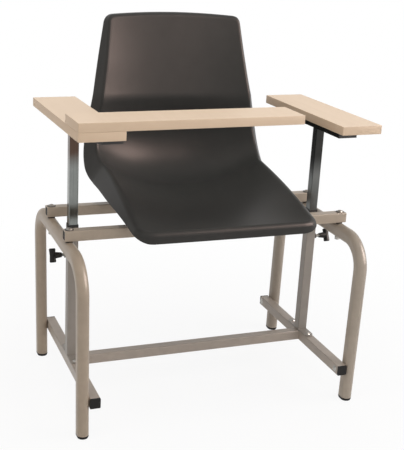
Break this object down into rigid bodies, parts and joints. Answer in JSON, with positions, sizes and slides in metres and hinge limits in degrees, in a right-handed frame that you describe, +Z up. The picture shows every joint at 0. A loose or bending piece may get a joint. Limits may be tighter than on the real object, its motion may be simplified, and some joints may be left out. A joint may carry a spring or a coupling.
{
  "type": "phlebotomy chair",
  "caption": "Blood-drawing chair: moulded shell seat on a bent-tube base, with height-adjustable arm boards on clamped posts and a board that swings across the sitter.",
  "frame": {"origin": "on the floor, at the middle of the chair's bounding box", "axes": "+X to the right as seen from the front, +Y towards the back of the chair, +Z up"},
  "size_m": [0.7665, 0.5092, 0.931],
  "materials": {
    "frame_paint": "warm taupe semi-gloss enamel",
    "black_paint": "black satin enamel",
    "black_plastic": "moulded, satin",
    "shell_plastic": "fine leather-like moulded grain",
    "chrome_plate": "bright plate with light drag marks",
    "zinc_steel": "bright zinc plate",
    "dark_steel": "dark oxide",
    "brass_insert": "turned",
    "board_laminate": "pale laminate over board, satin"
  },
  "bodies": {
    "chair": {"end_frame_left": "frame_paint", "end_frame_right": "frame_paint", "leg_glides": "black_plastic", "side_bar_left": "frame_paint", "side_bar_right": "frame_paint", "side_bar_caps": "black_plastic", "cross_bar": "frame_paint", "side_bolts": "zinc_steel", "side_nuts": "zinc_steel", "front_rail": "frame_paint", "rear_rail": "frame_paint", "rail_plugs": "black_plastic", "saddle_washers": "black_plastic", "rail_washers": "dark_steel", "rail_bolts": "zinc_steel", "rail_nuts": "zinc_steel", "sleeve_left": "frame_paint", "sleeve_right": "frame_paint", "sleeve_bolts": "zinc_steel", "sleeve_nuts": "zinc_steel", "sleeve_collars": "black_plastic", "clamp_nuts": "dark_steel", "seat_shell": "shell_plastic", "seat_spacers": "shell_plastic", "seat_inserts": "brass_insert", "seat_screws": "zinc_steel"},
    "left_arm": {"post_left": "chrome_plate", "arm_tray_left": "black_paint", "tray_screws_left": "zinc_steel", "arm_board_left": "board_laminate"},
    "right_arm": {"post_right": "chrome_plate", "arm_tray_right": "black_paint", "tray_screws_right": "zinc_steel", "arm_board_right": "board_laminate"},
    "swing_board": {"cross_board": "board_laminate", "pivot_bolt": "zinc_steel", "pivot_washer": "zinc_steel", "pivot_insert": "brass_insert"},
    "left_knob": {"knob_left": "black_plastic", "clamp_screw_left": "zinc_steel"},
    "right_knob": {"knob_right": "black_plastic", "clamp_screw_right": "zinc_steel"}
  },
  "joints": [
    {"name": "left_arm_slide", "type": "slide", "parent": "chair", "child": "left_arm", "axis": [0, 0, 1], "range_m": [-0.063, 0.14]},
    {"name": "right_arm_slide", "type": "slide", "parent": "chair", "child": "right_arm", "axis": [0, 0, 1], "range_m": [-0.0592, 0.1438]},
    {"name": "swing_board_hinge", "type": "hinge", "parent": "left_arm", "child": "swing_board", "pos_m": [-0.31396, -0.16701, 0.7233], "axis": [0, 0, 1], "range_deg": [-90, 0]},
    {"name": "left_knob_turn", "type": "hinge", "parent": "chair", "child": "left_knob", "pos_m": [-0.3373, -0.01, 0.372], "axis": [-1, 0, 0], "range_deg": [0, 360]},
    {"name": "right_knob_turn", "type": "hinge", "parent": "chair", "child": "right_knob", "pos_m": [0.3373, -0.01, 0.372], "axis": [1, 0, 0], "range_deg": [0, 360]}
  ]
}
